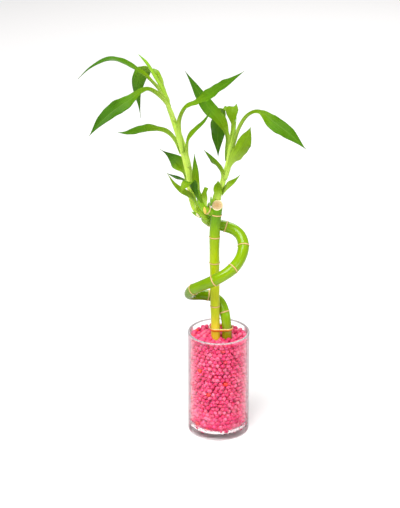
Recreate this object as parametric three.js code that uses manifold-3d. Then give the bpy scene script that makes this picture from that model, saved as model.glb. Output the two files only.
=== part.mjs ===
// A lucky bamboo: two canes, one straight and one grown in a spiral round it, stand in pink gravel
// in a glass cylinder vase. Three leafy shoots grow from the tops of the canes.
// Millimetres, +Z up, +X to the right and +Y to the back. The origin is the middle of the vase's foot.
import * as THREE from "three";
import { mergeVertices } from "three/addons/utils/BufferGeometryUtils.js";
import Module from "manifold-3d";

const wasm = await Module();
wasm.setup();

// The clear space that two pieces keep where they touch.
const GAP = 0.3;

const VASE = { radius: 34, height: 120, wall: 2.7, base: 4.5, corner: 11, foot: 2, sides: 48 };
// The gravel's stones stand as relief, larger than life. A stone's crown and the gaps between
// stones lie below the even surface by up to these depths, on its side and on its top, and every
// point of the top lies at least the share least of its depth below.
const GRAVEL = {
  top: 115,
  stone: 5.6,
  side: { crown: 0.4, gap: 1.6, inset: 1.2 },
  upper: { crown: 0.64, gap: 3.84, least: 0.4 },
  sides: 60,
  arcSteps: 6,
};

// How far apart the rows of vertices stand along a cane, a stem or a leaf.
const STEP = 7;

// Each cane: its centre line from foot to top, its radii, spread evenly along it, and how far along
// it the node rings stand.
const STRAIGHT_CANE = {
  route: [[-3.5, -3, 9], [-3.5, -3, 111], [-4.5, -3, 165], [-4.5, -3, 246], [-1, -3, 278]],
  radii: [4.7, 4.8, 5.2, 6],
  rings: [114.5, 142.7, 168.8, 193.8, 223.8, 249.8],
};
const SPIRAL_CANE = {
  route: [
    [9, -3, 9], [9, -3, 90], [9, -3, 112], [8.5, -2, 128], [6, 2.5, 141.5], [1.5, 8.5, 150.5],
    [-7.5, 11.5, 156], [-18, 10, 158.5], [-27, 5.5, 160.5], [-32, -2, 165], [-29, -11, 173.5],
    [-19.5, -20, 182.5], [-5, -26, 192], [8, -26, 200], [17.5, -20, 206.5], [24, -11, 214.5],
    [26, -2, 222.5], [23, 5.5, 230.5], [16, 10, 235.5], [7, 12, 238.5], [-3, 12, 241.5],
    [-11, 9.5, 246.5], [-17, 5, 253],
  ],
  radii: [5.1, 5.1, 5.8, 6.2, 5.8],
  rings: [133.5, 161, 204.5, 234.5, 259, 289, 320.5, 339],
};
const RING = { height: 0.4, width: 1.6 };
const CANE_SIDES = 12;

// Where the rows of a cane's round end stand, as shares of its radius short of the tip.
const ROUND_END = [0.9, 0.6, 0.3, 0.1, 0];
const TIP_RADIUS = 0.8;

// The slanted cut at the top of the straight cane: a point on it, its lean towards the front, and
// the size of what it takes off.
const CUT = { point: [-2.5, -3, 269], lean: 33, reach: 40 };

// The tie runs round two circles, span apart, of the radius bore.
const TIE = {
  middle: [2.75, -2.7, 124.6],
  span: 12.6,
  bore: 6.1,
  wall: 0.7,
  width: 2,
  tilt: 1,
  arcSteps: 10,
};

// Each stem: its centre line, and its radius at each point of it.
const STEM_SIDES = 8;
const STEM_A = {
  route: [
    [-13.5, 6, 252], [-17.5, 4, 256], [-24, 3, 261.5], [-28, 1, 272], [-30.5, 0, 285],
    [-31, -1, 297], [-34, -2, 314], [-38, -3, 331], [-44.5, -4, 353.5], [-52, -5, 375.5],
    [-59, -6, 397.5], [-66.5, -7, 412], [-75, -8, 427], [-83.5, -10, 437],
  ],
  radii: [4.2, 4.2, 4.2, 4, 3.8, 3.9, 4.1, 4, 3.4, 2.5, 1.7, 1.8, 1.6, 0.4],
};
const STEM_B = {
  route: [[-8, -4, 261], [-15.5, -8, 266.5], [-20, -10, 274], [-22, -11, 282.5], [-23.5, -12, 290]],
  radii: [4.4, 4.2, 3.2, 2.6, 2],
};
const STEM_C = {
  route: [
    [-4.5, 2, 262], [-4, 6.5, 270], [-1.5, 8, 280], [2.5, 9, 287.5], [5.5, 9, 298.5],
    [9, 9, 310], [11.5, 10, 326.5], [13, 9.5, 336], [15, 7, 347], [17.5, 5, 364.5],
  ],
  radii: [4, 4, 3.6, 3.2, 2.9, 3.1, 2.9, 2, 1.4, 0.4],
};

// Each leaf: the way it heads out from its stem, in degrees from +X towards +Y, its widest width,
// its neck's width, how far along it the blade begins, its roll about its rib from base to tip in
// degrees, and the route of its rib. belly is how far along the blade it is widest, if that isn't
// BLADE.belly, and blunt is the width that a blunt leaf keeps at its tip.
const LEAVES_A = {
  leaf_a_long_arching: {
    heading: 195, width: 9, neck: 6.5, blade: 0.1, roll: [5, 20, 15],
    route: [[-54.5, -6, 382.5], [-60, -8.5, 392], [-67, -12, 403.5], [-83, -18, 421],
      [-101, -24, 433.5], [-113.5, -28, 437], [-131.5, -34, 430], [-144, -38, 419.5]],
  },
  leaf_a_drooping: {
    heading: 150, width: 16, neck: 7, blade: 0.15, belly: 0.4, roll: [0, -20, -60, -60],
    route: [[-53.5, -2.5, 378], [-58, 1, 389], [-64, 7, 403.5], [-72.5, 13, 412.5],
      [-82.5, 20, 407], [-87, 25, 390], [-85, 28, 371.5], [-83.5, 30, 355.5]],
  },
  leaf_a_broad_low: {
    heading: 205, width: 16, neck: 8, blade: 0.4, roll: [0, 30, 60, 60],
    route: [[-48.5, -9, 366], [-54.5, -13, 381.5], [-63.5, -16, 393.5], [-74, -18.5, 401],
      [-83, -22, 400], [-92, -27, 394.5], [-110.5, -36, 383.5], [-124.5, -43, 372], [-133.5, -48, 362]],
  },
  leaf_a_level: {
    heading: 155, width: 10.5, neck: 8, blade: 0.25, belly: 0.55, roll: [5, 35, 30],
    route: [[-41, 1, 326], [-48, 2.5, 339], [-57.5, 6, 348.5], [-71, 13, 349], [-86.5, 21, 344],
      [-99.5, 28, 339.5], [-108, 32, 338.5]],
  },
  leaf_a_right: {
    heading: 335, width: 12, neck: 8.5, blade: 0.38, roll: [0, -25, -55, -55],
    route: [[-37.5, -8.5, 331], [-40, -10.5, 351], [-40, -12, 368], [-33.5, -15, 382],
      [-20.5, -19, 390.5], [-6.5, -24, 401.5], [10, -29, 414], [24, -33, 426]],
  },
  leaf_a_thin_right: {
    heading: 340, width: 6.5, neck: 8.5, blade: 0.1, roll: [0, -40, -80],
    route: [[-31, -7, 314], [-33, -9.5, 333], [-31.5, -12.5, 348], [-25, -15, 358],
      [-16.5, -18, 368], [-8.5, -21, 382]],
  },
  leaf_a_short_broad: {
    heading: 145, width: 16, neck: 5, blade: 0.1, belly: 0.35, roll: [20, 60],
    route: [[-33.5, 2, 293], [-38, 6.5, 303.5], [-44, 11, 312.5], [-52.5, 17, 317.5], [-63.5, 23, 323]],
  },
  leaf_a_short_dark: {
    heading: 155, width: 5.5, neck: 4, blade: 0, roll: [0, 20],
    route: [[-32.5, 5, 288], [-37.5, 8, 293], [-44, 12, 293.5], [-56, 18, 297.5]],
  },
  leaf_a_lowest: {
    heading: 200, width: 8, neck: 5, blade: 0, belly: 0.35, roll: [0, 60, 90],
    route: [[-26.5, -4, 267], [-26.5, -7, 274], [-29.5, -9.5, 279.5], [-34.5, -11, 284.5],
      [-41, -13.5, 291], [-48, -16, 299], [-55, -19.5, 311]],
  },
};
const LEAVES_B = {
  leaf_b_folded: {
    heading: 235, width: 14, neck: 5, blade: 0, belly: 0.62, roll: [0, 0, 40],
    route: [[-20.5, -12.5, 275], [-24.5, -13.5, 285], [-28.5, -14, 294], [-31.5, -15, 299.5],
      [-34.5, -18.5, 299.5], [-38, -20.5, 297], [-40, -21, 291]],
  },
  leaf_b_upright: {
    heading: 90, width: 8, neck: 4.5, blade: 0, roll: [0, 10],
    route: [[-22, -7, 279], [-23.5, -7, 290], [-25, -7.5, 302], [-26, -8, 315], [-26.5, -8.5, 329]],
  },
  leaf_b_blunt: {
    heading: 20, width: 7, neck: 6, blade: 0, roll: [-50, -60], blunt: 4.5,
    route: [[-16, -9.5, 271.5], [-16, -10, 279], [-15.5, -10.5, 286], [-14, -10.5, 292]],
  },
};
const LEAVES_C = {
  leaf_c_broad_left: {
    heading: 150, width: 14, neck: 7, blade: 0.2, roll: [20, 45, 45],
    route: [[7.5, 12, 314], [7, 15, 328], [6.5, 17.5, 342], [0, 20.5, 356], [-12, 25, 369.5],
      [-25, 32, 388.5], [-36.5, 38, 405]],
  },
  leaf_c_drooping: {
    heading: 95, width: 17, neck: 6, blade: 0.3, belly: 0.5, roll: [0, -20, -85, -85],
    route: [[12.5, 12.5, 331], [14, 20.5, 345], [11, 29.5, 360], [3.5, 35, 364], [0, 39, 352.5],
      [-1.5, 42, 333], [-1, 44, 305.5]],
  },
  leaf_c_funnel: {
    heading: 80, width: 13, neck: 6, blade: 0.1, belly: 0.8, roll: [0, 0],
    route: [[13, 11, 333], [14, 12, 341], [14, 13, 351], [13.5, 14, 361], [13.5, 17, 369],
      [16.5, 22, 372]],
  },
  leaf_c_long_arching: {
    heading: 335, width: 15.5, neck: 6.5, blade: 0.48, roll: [0, -20, -50, -50],
    route: [[12.5, 5.5, 319], [17, 3, 337.5], [22, 0, 354.5], [30.5, -4, 369], [41.5, -9, 374.5],
      [54, -16, 367.5], [72, -25, 356], [89, -33, 342]],
  },
  leaf_c_broad_right: {
    heading: 315, width: 17, neck: 6, blade: 0.05, belly: 0.6, roll: [0, 45, 50],
    route: [[7, 6, 294], [12, 2, 311.5], [18, -3, 325.5], [24.5, -7, 338], [29, -10, 349],
      [32, -12, 359.5]],
  },
  leaf_c_short_left: {
    heading: 215, width: 9, neck: 5, blade: 0.1, roll: [0, -20, -50],
    route: [[1, 5, 286], [2, 4, 297], [0.5, 2, 307.5], [-7, -2, 319], [-16.5, -7, 332.5]],
  },
  leaf_c_short_right: {
    heading: 330, width: 10, neck: 5, blade: 0, roll: [-40, -65],
    route: [[3, 7, 277], [6, 5.5, 283], [9.5, 3, 288.5], [15.5, -1, 295], [22, -5, 304.5]],
  },
  leaf_c_low_sheath: {
    heading: 260, width: 10, neck: 7, blade: 0, roll: [0, 0],
    route: [[-2.5, 2.5, 272.5], [-2, 2.5, 279], [-1.5, 2, 287], [-1.5, 0, 296]],
  },
};

// All leaves: the thickness, the least width, where along the blade it is widest unless the leaf has
// its own belly, and the fewest rows that a leaf is split into.
const BLADE = { thickness: 0.8, tip: 1.2, belly: 0.45, minRows: 6 };

// How far both halves of a leaf slope in its blade and in its neck, in degrees. The neck opens out
// from the share below before the blade begins, over the share opens of the leaf's length.
const FOLD = { blade: 17, neck: 48, below: 0.1, opens: 0.25 };

// Each bud scale on a stem: where its foot is, where its point is, and how wide it is.
const SCALE_SIDES = 5;
const SCALES_A = [
  { foot: [-21.5, 1, 257], point: [-24.5, -3.5, 262], width: 3.4 },
  { foot: [-20, 3.5, 257], point: [-30, 0, 259.5], width: 3 },
];
const SCALES_B = [
  { foot: [-15, -9.5, 264], point: [-16.5, -12.5, 270], width: 3.6 },
  { foot: [-11.5, -5, 264], point: [-11, -3, 273], width: 4 },
];

// The closed solid of a geometry whose shared vertices are merged.
function solid(geometry) {
  geometry.deleteAttribute("normal");
  geometry.deleteAttribute("uv");
  const merged = mergeVertices(geometry, 1e-4);
  return new wasm.Manifold(
    new wasm.Mesh({
      numProp: 3,
      vertProperties: merged.attributes.position.array,
      triVerts: new Uint32Array(merged.index.array),
    }),
  );
}

// A named mesh of a solid.
function mesh(name, body, material) {
  const { vertProperties, triVerts } = body.getMesh();
  const geometry = new THREE.BufferGeometry();
  geometry.setAttribute("position", new THREE.BufferAttribute(vertProperties, 3));
  geometry.setIndex(new THREE.BufferAttribute(triVerts, 1));
  geometry.computeVertexNormals();
  const made = new THREE.Mesh(geometry, material);
  made.name = name;
  return made;
}

// Moves each vertex of a geometry to where place(vertex) puts it.
function shape(geometry, place) {
  const position = geometry.attributes.position;
  const vertex = new THREE.Vector3();
  for (let i = 0; i < position.count; i++) {
    vertex.fromBufferAttribute(position, i);
    place(vertex);
    position.setXYZ(i, vertex.x, vertex.y, vertex.z);
  }
  return geometry;
}

const curveThrough = (route) => new THREE.CatmullRomCurve3(route.map((p) => new THREE.Vector3(...p)));

// Frames along a curve at the given distances: the point, the tangent, and a side direction that
// is carried along without turning about the curve.
function framesAlong(curve, distances, firstSide) {
  const length = curve.getLength();
  let side = firstSide.clone();
  return distances.map((distance) => {
    const u = THREE.MathUtils.clamp(distance / length, 0, 1);
    const point = curve.getPointAt(u);
    const tangent = curve.getTangentAt(u);
    side = side.clone().addScaledVector(tangent, -side.dot(tangent)).normalize();
    return { point, tangent, side, up: side.clone().cross(tangent) };
  });
}

// A value read at t, 0 to 1, from a list of evenly spaced values.
function blend(values, t) {
  const at = t * (values.length - 1);
  const i = Math.min(Math.floor(at), values.length - 2);
  return THREE.MathUtils.lerp(values[i], values[i + 1], at - i);
}

// A closed tube along a curve: a cylinder whose rows of vertices stand at the given distances,
// with the radius that radiusAt gives there, and its ends pushed out by grow.
function tube(curve, distances, radiusAt, sides, grow) {
  const rows = distances.length - 1;
  const frames = framesAlong(curve, distances, new THREE.Vector3(1, 0, 0));
  frames[0].point.addScaledVector(frames[0].tangent, -grow);
  frames[rows].point.addScaledVector(frames[rows].tangent, grow);
  const geometry = new THREE.CylinderGeometry(1, 1, 1, sides, rows);
  return shape(geometry, (vertex) => {
    const row = Math.round((vertex.y + 0.5) * rows);
    const { point, side, up } = frames[row];
    const radius = radiusAt(distances[row]);
    const { x, z } = vertex;
    vertex.copy(point).addScaledVector(side, x * radius).addScaledVector(up, z * radius);
  });
}

// A cane: rows close together at each node ring, which stands proud, and wider apart between.
function cane({ route, radii, rings }, { grow = 0, roundEnd = false } = {}) {
  const curve = curveThrough(route);
  const length = curve.getLength();
  const half = RING.width / 2;
  const end = radii.at(-1);
  const distances = [0];
  for (const stop of [...rings, length]) {
    const from = distances.at(-1);
    const to = stop === length ? length : stop - half;
    const steps = Math.ceil((to - from) / STEP);
    for (let i = 1; i <= steps; i++) distances.push(from + ((to - from) * i) / steps);
    if (stop !== length) distances.push(stop, stop + half);
  }
  if (roundEnd) {
    distances.pop();
    for (const share of ROUND_END) distances.push(length - end * share);
  }
  const radiusAt = (distance) => {
    const plain = blend(radii, distance / length) + grow;
    const raised = rings.includes(distance) ? RING.height : 0;
    const past = roundEnd ? Math.max(0, (distance - (length - end)) / end) : 0;
    return Math.max(TIP_RADIUS, (plain + raised) * Math.sqrt(Math.max(0, 1 - past * past)));
  };
  return solid(tube(curve, distances, radiusAt, CANE_SIDES, grow));
}

// A stem: its radius follows its list.
function stem({ route, radii }, grow = 0) {
  const curve = curveThrough(route);
  const length = curve.getLength();
  const rows = Math.ceil(length / STEP);
  const distances = Array.from({ length: rows + 1 }, (_, i) => (length * i) / rows);
  const marks = route.map((_, i) => i / (route.length - 1));
  const radiusAt = (distance) => {
    const t = curve.getUtoTmapping(distance / length);
    const i = Math.min(marks.findLastIndex((mark) => mark <= t), marks.length - 2);
    const share = (t - marks[i]) / (marks[i + 1] - marks[i]);
    return THREE.MathUtils.lerp(radii[i], radii[i + 1], share) + grow;
  };
  return solid(tube(curve, distances, radiusAt, STEM_SIDES, grow));
}

// A bud scale: a small point that leans off the stem it is rooted in.
function scale({ foot, point, width }) {
  const from = new THREE.Vector3(...foot);
  const along = new THREE.Vector3(...point).sub(from);
  const cone = new THREE.ConeGeometry(width / 2, along.length(), SCALE_SIDES);
  cone.translate(0, along.length() / 2, 0);
  const up = new THREE.Vector3(0, 1, 0);
  cone.applyQuaternion(new THREE.Quaternion().setFromUnitVectors(up, along.normalize()));
  return solid(cone.translate(from.x, from.y, from.z));
}

// A leaf: a strip of even thickness along its rib, lance-shaped, and split into triangles alike on
// both faces. It is folded in a steep V in its neck and opens to a shallow V where its blade begins.
function leaf({ heading, width, neck, blade, belly = BLADE.belly, roll, route, blunt = 0 }) {
  const curve = curveThrough(route);
  const length = curve.getLength();
  const rows = Math.max(BLADE.minRows, Math.round(length / STEP));
  const distances = Array.from({ length: rows + 1 }, (_, i) => (length * i) / rows);
  const turn = THREE.MathUtils.degToRad(heading);
  const across = new THREE.Vector3(Math.sin(turn), -Math.cos(turn), 0);
  const frames = framesAlong(curve, distances, across);
  const widthAt = (t) => {
    const along = Math.max(0, (t - blade) / (1 - blade));
    const lance = width * Math.sin(Math.PI * along ** (Math.log(0.5) / Math.log(belly)));
    return Math.max(neck * (1 - along), lance, BLADE.tip, blunt);
  };
  const strip = new THREE.BoxGeometry(1, 1, 1, 2, rows, 1);
  const back = strip.groups[5];
  const index = strip.index.array;
  for (let i = back.start; i < back.start + back.count; i += 6) {
    const [a, b, d, , c] = index.slice(i, i + 5);
    index.set([a, b, c, a, c, d], i);
  }
  return solid(
    shape(strip, (vertex) => {
      const row = Math.round((vertex.y + 0.5) * rows);
      const { point, tangent, side, up } = frames[row];
      const rolled = THREE.MathUtils.degToRad(-blend(roll, row / rows));
      const out = side.clone().applyAxisAngle(tangent, rolled);
      const face = up.clone().applyAxisAngle(tangent, rolled);
      const from = blade - FOLD.below;
      const opened = THREE.MathUtils.smoothstep(row / rows, from, from + FOLD.opens);
      const slope = THREE.MathUtils.degToRad(THREE.MathUtils.lerp(FOLD.neck, FOLD.blade, opened));
      const half = vertex.x * widthAt(row / rows);
      const lift = Math.abs(half) * Math.sin(slope) + (vertex.z * BLADE.thickness) / Math.cos(slope);
      vertex.copy(point).addScaledVector(out, half * Math.cos(slope)).addScaledVector(face, lift);
    }),
  );
}

// The largest body of a solid, after cuts that may leave scraps.
const largest = (body) => body.decompose().sort((a, b) => b.volume() - a.volume())[0];

const group = new THREE.Group();

// The vase: one turned glass body with a thick base, a rounded inside corner and a round rim.
function vase() {
  const { radius, height, wall, base, corner, foot, sides } = VASE;
  const inner = radius - wall;
  const arc = (x, z, r, from, to, steps) =>
    Array.from({ length: steps + 1 }, (_, i) => {
      const angle = THREE.MathUtils.degToRad(THREE.MathUtils.lerp(from, to, i / steps));
      return new THREE.Vector2(x + r * Math.cos(angle), z + r * Math.sin(angle));
    });
  const profile = [
    new THREE.Vector2(0, 0),
    ...arc(radius - foot, foot, foot, -90, 0, 3),
    ...arc(radius - wall / 2, height - wall / 2, wall / 2, 0, 180, 4),
    ...arc(inner - corner, base + corner, corner, 0, -90, 6),
    new THREE.Vector2(0, base),
  ];
  return solid(new THREE.LatheGeometry(profile, sides).rotateX(Math.PI / 2));
}

// A height or depth for one lattice point, the same each time: 0 to 1.
function chance(i, j) {
  const wave = Math.sin(i * 127.1 + j * 311.7) * 43758.5453;
  return wave - Math.floor(wave);
}

// In a lattice of triangles every third point is the crown of a stone, and the others are the
// gaps between stones.
const isCrown = (i, j) => (((i + 2 * j) % 3) + 3) % 3 === 0;

// The gravel: it fills the vase to under its rim, with its stones as relief on side and top.
function gravel() {
  const { top, stone, side, upper, sides, arcSteps } = GRAVEL;
  const outer = (VASE.radius - VASE.wall) * Math.cos(Math.PI / VASE.sides) - GAP;
  const low = VASE.base + 2 * GAP;
  const corner = VASE.corner - GAP;
  const pitch = stone / Math.sqrt(3);
  const rise = (pitch * Math.sqrt(3)) / 2;
  const profile = [new THREE.Vector2(0, low)];
  for (let i = 0; i <= arcSteps; i++) {
    const a = (Math.PI / 2) * (i / arcSteps);
    const x = outer - corner + corner * Math.sin(a);
    profile.push(new THREE.Vector2(x, low + corner - corner * Math.cos(a)));
  }
  const first = 3;
  const rows = Math.ceil((top + stone - low - corner) / rise);
  for (let i = 1; i <= rows; i++) profile.push(new THREE.Vector2(outer, low + corner + i * rise));
  profile.push(new THREE.Vector2(0, low + corner + rows * rise));
  const turned = new THREE.LatheGeometry(profile, sides);
  const last = profile.length - 2;
  const position = turned.attributes.position;
  for (let i = 0; i <= sides; i++) {
    for (let j = 1; j <= last; j++) {
      const at = i * profile.length + j;
      const column = i % sides;
      const crown = isCrown(column, j);
      const sunk = j < first || j === last ? 0 : (crown ? side.crown : side.gap) * chance(column, j);
      const angle = ((i + j / 2) / sides) * 2 * Math.PI;
      const x = profile[j].x - sunk - (crown || j < first ? 0 : side.inset);
      position.setXYZ(at, x * Math.sin(angle), profile[j].y, x * Math.cos(angle));
    }
  }
  const turnedBody = solid(turned.rotateX(Math.PI / 2));

  const columns = Math.ceil((4 * outer) / pitch);
  const lines = Math.ceil((2 * outer) / rise) + 2;
  const block = new THREE.BoxGeometry(columns, lines, top, columns, lines, 1);
  shape(block, (vertex) => {
    const i = Math.round(vertex.x + columns / 2);
    const j = Math.round(lines / 2 - vertex.y);
    const share = vertex.z > 0 ? THREE.MathUtils.lerp(upper.least, 1, chance(i, j)) : 0;
    const sunk = (isCrown(i, j) ? upper.crown : upper.gap) * share;
    vertex.x = (vertex.x + vertex.y / -2) * pitch;
    vertex.y *= rise;
    vertex.z += top / 2 - sunk;
  });
  return turnedBody.intersect(solid(block));
}

const straight = cane(STRAIGHT_CANE);
const spiral = cane(SPIRAL_CANE, { roundEnd: true });
const straightSpace = cane(STRAIGHT_CANE, { grow: GAP });
const spiralSpace = cane(SPIRAL_CANE, { grow: GAP, roundEnd: true });

// What the slanted cut takes off the straight cane's top.
function offcut() {
  const { point, lean, reach } = CUT;
  const box = new THREE.BoxGeometry(reach, reach, reach).translate(0, 0, reach / 2);
  box.rotateX(THREE.MathUtils.degToRad(lean)).translate(...point);
  return solid(box);
}

// The tie: one flat band round both canes.
function tie() {
  const { middle, span, bore, wall, width, tilt, arcSteps } = TIE;
  const loop = (Kind, radius) => {
    const path = new Kind();
    path.absarc(span / 2, 0, radius, -Math.PI / 2, Math.PI / 2, false);
    path.absarc(-span / 2, 0, radius, Math.PI / 2, (3 * Math.PI) / 2, false);
    return path;
  };
  const outline = loop(THREE.Shape, bore + wall);
  outline.holes.push(loop(THREE.Path, bore));
  const options = { depth: width, bevelEnabled: false, curveSegments: arcSteps };
  const band = new THREE.ExtrudeGeometry(outline, options);
  band.translate(0, 0, -width / 2).rotateY(THREE.MathUtils.degToRad(-tilt)).translate(...middle);
  return solid(band);
}

const finish = (color, roughness, metalness = 0) =>
  new THREE.MeshStandardMaterial({ color, roughness, metalness });

const glass = finish("#e6eeee", 0.05);
glass.transparent = true;
glass.opacity = 0.35;
group.add(mesh("vase", vase(), glass));
const bed = gravel().subtract(straightSpace).subtract(spiralSpace);
group.add(mesh("gravel", largest(bed), finish("#f2588a", 0.7)));
group.add(mesh("straight_cane", straight.subtract(offcut()), finish("#9fc400", 0.35)));
group.add(mesh("spiral_cane", spiral, finish("#7fb800", 0.3)));
group.add(mesh("tie", tie(), finish("#e8a33a", 0.35, 0.8)));

// A shoot: its stem with the bud scales rooted in it, and each leaf in its own mesh. The stem is cut
// clear of the canes, and each leaf of the canes and of the stem.
function shoot(name, stemData, scales, leaves, canes) {
  let body = stem(stemData);
  for (const bud of scales) body = body.add(scale(bud));
  for (const space of canes) body = body.subtract(space);
  group.add(mesh(name, largest(body), finish("#a8d820", 0.45)));
  const space = stem(stemData, GAP);
  for (const [leafName, data] of Object.entries(leaves)) {
    const blade = [space, ...canes].reduce((left, cut) => left.subtract(cut), leaf(data));
    group.add(mesh(leafName, largest(blade), finish("#4c8f0c", 0.4)));
  }
}

shoot("stem_a", STEM_A, SCALES_A, LEAVES_A, [straightSpace, spiralSpace]);
shoot("stem_b", STEM_B, SCALES_B, LEAVES_B, [straightSpace, spiralSpace]);
shoot("stem_c", STEM_C, [], LEAVES_C, [straightSpace, spiralSpace]);

export default group;
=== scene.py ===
import math
import random

import bmesh
import bpy
from mathutils import Matrix, Vector


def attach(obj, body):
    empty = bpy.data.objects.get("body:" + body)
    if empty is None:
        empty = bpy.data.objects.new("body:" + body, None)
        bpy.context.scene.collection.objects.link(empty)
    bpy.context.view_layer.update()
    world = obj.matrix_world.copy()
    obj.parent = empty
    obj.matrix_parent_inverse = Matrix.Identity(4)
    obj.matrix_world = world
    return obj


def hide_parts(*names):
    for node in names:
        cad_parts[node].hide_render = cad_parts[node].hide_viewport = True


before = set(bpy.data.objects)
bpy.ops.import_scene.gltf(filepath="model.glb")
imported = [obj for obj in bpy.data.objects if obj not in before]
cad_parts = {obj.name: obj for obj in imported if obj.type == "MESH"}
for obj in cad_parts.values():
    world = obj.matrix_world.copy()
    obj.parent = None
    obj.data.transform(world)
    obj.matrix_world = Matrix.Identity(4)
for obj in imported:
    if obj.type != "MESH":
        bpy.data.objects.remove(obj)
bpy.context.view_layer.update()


# Camera: it stands 1.7 m in front of the plant, a little left of the vase's axis, and looks down
# on it by 23 degrees through a long lens, as the photograph does.
FOCAL_PIXELS = 1700
IMAGE = (400, 508)
SENSOR_MM = 36
CAMERA_PLACE = (-0.02064, -1.68896, 0.92446)
LOOKS_DOWN = 22.89
camera = bpy.data.objects.new("camera", bpy.data.cameras.new("camera"))
bpy.context.collection.objects.link(camera)
camera.data.sensor_width = SENSOR_MM
camera.data.lens = FOCAL_PIXELS / max(IMAGE) * SENSOR_MM
camera.data.clip_end = 50
camera.location = CAMERA_PLACE
camera.rotation_euler = (math.radians(90 - LOOKS_DOWN), 0, 0)
bpy.context.scene.camera = camera
bpy.context.scene.view_settings.view_transform = "Standard"


# Studio table: one white sheet, matt, far wider than the picture, which the vase stands on. It
# lies 0.1 mm under the foot, because glass that shares a face with it would look black.
def linear(hex_colour):
    """An sRGB hex colour as linear red, green, blue and alpha."""
    parts = [int(hex_colour[i:i + 2], 16) / 255 for i in (1, 3, 5)]
    return [p / 12.92 if p <= 0.04045 else ((p + 0.055) / 1.055) ** 2.4 for p in parts] + [1.0]


def add(tree, kind, inputs=(), stops=(), **settings):
    """Adds one node to a material, with its settings, its inputs as values or links, and its
    colour stops, where it has them, as places from 0 to 1 with hex colours."""
    node = tree.nodes.new(kind)
    for key, value in settings.items():
        setattr(node, key, value)
    for key, value in dict(inputs).items():
        if isinstance(value, bpy.types.NodeSocket):
            tree.links.new(value, node.inputs[key])
        else:
            node.inputs[key].default_value = value
    if stops:
        ramp = node.color_ramp.elements
        ramp[0].position, ramp[1].position = stops[0][0], stops[-1][0]
        for at, _ in stops[1:-1]:
            ramp.new(at)
        for stop, (_, hex_colour) in zip(ramp, stops):
            stop.color = linear(hex_colour)
    return node


def new_material(name, values):
    """A material with its surface shader, the shader's values, and its output."""
    material = bpy.data.materials.new(name)
    material.use_nodes = True
    tree = material.node_tree
    tree.nodes.clear()
    shader = add(tree, "ShaderNodeBsdfPrincipled", values)
    add(tree, "ShaderNodeOutputMaterial", {"Surface": shader.outputs["BSDF"]})
    return material, tree, shader


def finish_piece(name, form, materials, smooth=True):
    """Turns a bmesh into a piece of the plant, at the origin, with its materials."""
    data = bpy.data.meshes.new(name)
    form.to_mesh(data)
    form.free()
    for material in materials:
        data.materials.append(material)
    if smooth:
        data.shade_smooth()
    piece = bpy.data.objects.new(name, data)
    bpy.context.collection.objects.link(piece)
    return piece


table_sheet, _, _ = new_material(
    "white matt paper", {"Base Color": linear("#EDEBEA"), "Roughness": 0.7},
)
TABLE_REACH = 6
UNDER_FOOT = 0.0001
form = bmesh.new()
bmesh.ops.create_grid(form, x_segments=1, y_segments=1, size=TABLE_REACH)
bmesh.ops.translate(form, vec=(0, 0, -UNDER_FOOT), verts=form.verts)
table = finish_piece("table", form, [table_sheet], smooth=False)


# Studio light: a large softbox high on the left in front for the main light and a soft shadow, a
# weaker one on the right, a large one high behind for the leaf edges and the far part of the
# table, and an even pale room that the glass and the wax reflect.
PLANT_MIDDLE = Vector((0, 0, 0.25))


def softbox(name, place, size, watts):
    """A square lamp at a place in metres, turned towards the middle of the plant."""
    lamp = bpy.data.lights.new(name, "AREA")
    lamp.shape = "SQUARE"
    lamp.size = size
    lamp.energy = watts
    box = bpy.data.objects.new(name, lamp)
    bpy.context.collection.objects.link(box)
    box.location = place
    aim = PLANT_MIDDLE - Vector(place)
    box.rotation_euler = aim.to_track_quat("-Z", "Y").to_euler()


softbox("key softbox", (-0.6, -0.95, 1.9), 1.3, 52)
softbox("fill softbox", (1.3, -1.3, 1.1), 0.9, 12)
softbox("back softbox", (0.3, 1.6, 1.9), 1.4, 38)
room = bpy.data.worlds.new("pale room")
room.use_nodes = True
pale_wall = room.node_tree.nodes["Background"]
pale_wall.inputs["Color"].default_value = linear("#F2F4F6")
pale_wall.inputs["Strength"].default_value = 0.32
bpy.context.scene.world = room


# Vase: a cylinder of clear soda-lime glass, 68 mm across, pressed with a thick base, a rounded
# inside corner and a fire-polished round rim. It is one body with no seam.
MM = 0.001
VASE_RADIUS = 34
VASE_HEIGHT = 120
VASE_WALL = 2.7
VASE_BASE = 4.5
INSIDE_CORNER = 11
FOOT_ROUNDING = 2
TURN_STEPS = 144
PAINTED_RIM_ABOVE = VASE_HEIGHT - VASE_WALL / 2
PAINTED_FOOT_BELOW = FOOT_ROUNDING * 0.6
NO_GAP = 1e-6
GLASS_INDEX = 1.52


def arc(x, z, radius, start, stop, steps):
    """Points of an arc in the XZ plane, in millimetres, between two angles in degrees."""
    turns = [math.radians(start + (stop - start) * i / steps) for i in range(steps + 1)]
    return [(x + radius * math.cos(a), z + radius * math.sin(a)) for a in turns]


inner_radius = VASE_RADIUS - VASE_WALL
profile = [(0, 0), (16, 0), (VASE_RADIUS - FOOT_ROUNDING - 0.3, 0)]
profile += arc(VASE_RADIUS - FOOT_ROUNDING, FOOT_ROUNDING, FOOT_ROUNDING, -90, 0, 8)
profile += [(VASE_RADIUS, FOOT_ROUNDING + 0.3), (VASE_RADIUS, 60), (VASE_RADIUS, VASE_HEIGHT - 2)]
profile += arc(VASE_RADIUS - VASE_WALL / 2, VASE_HEIGHT - VASE_WALL / 2, VASE_WALL / 2, 0, 180, 12)
profile += [(inner_radius, VASE_HEIGHT - 2), (inner_radius, 60)]
profile += [(inner_radius, VASE_BASE + INSIDE_CORNER + 0.3)]
profile += arc(inner_radius - INSIDE_CORNER, VASE_BASE + INSIDE_CORNER, INSIDE_CORNER, 0, -90, 20)
profile += [(inner_radius - INSIDE_CORNER - 0.3, VASE_BASE), (10, VASE_BASE), (0, VASE_BASE)]
form = bmesh.new()
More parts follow.
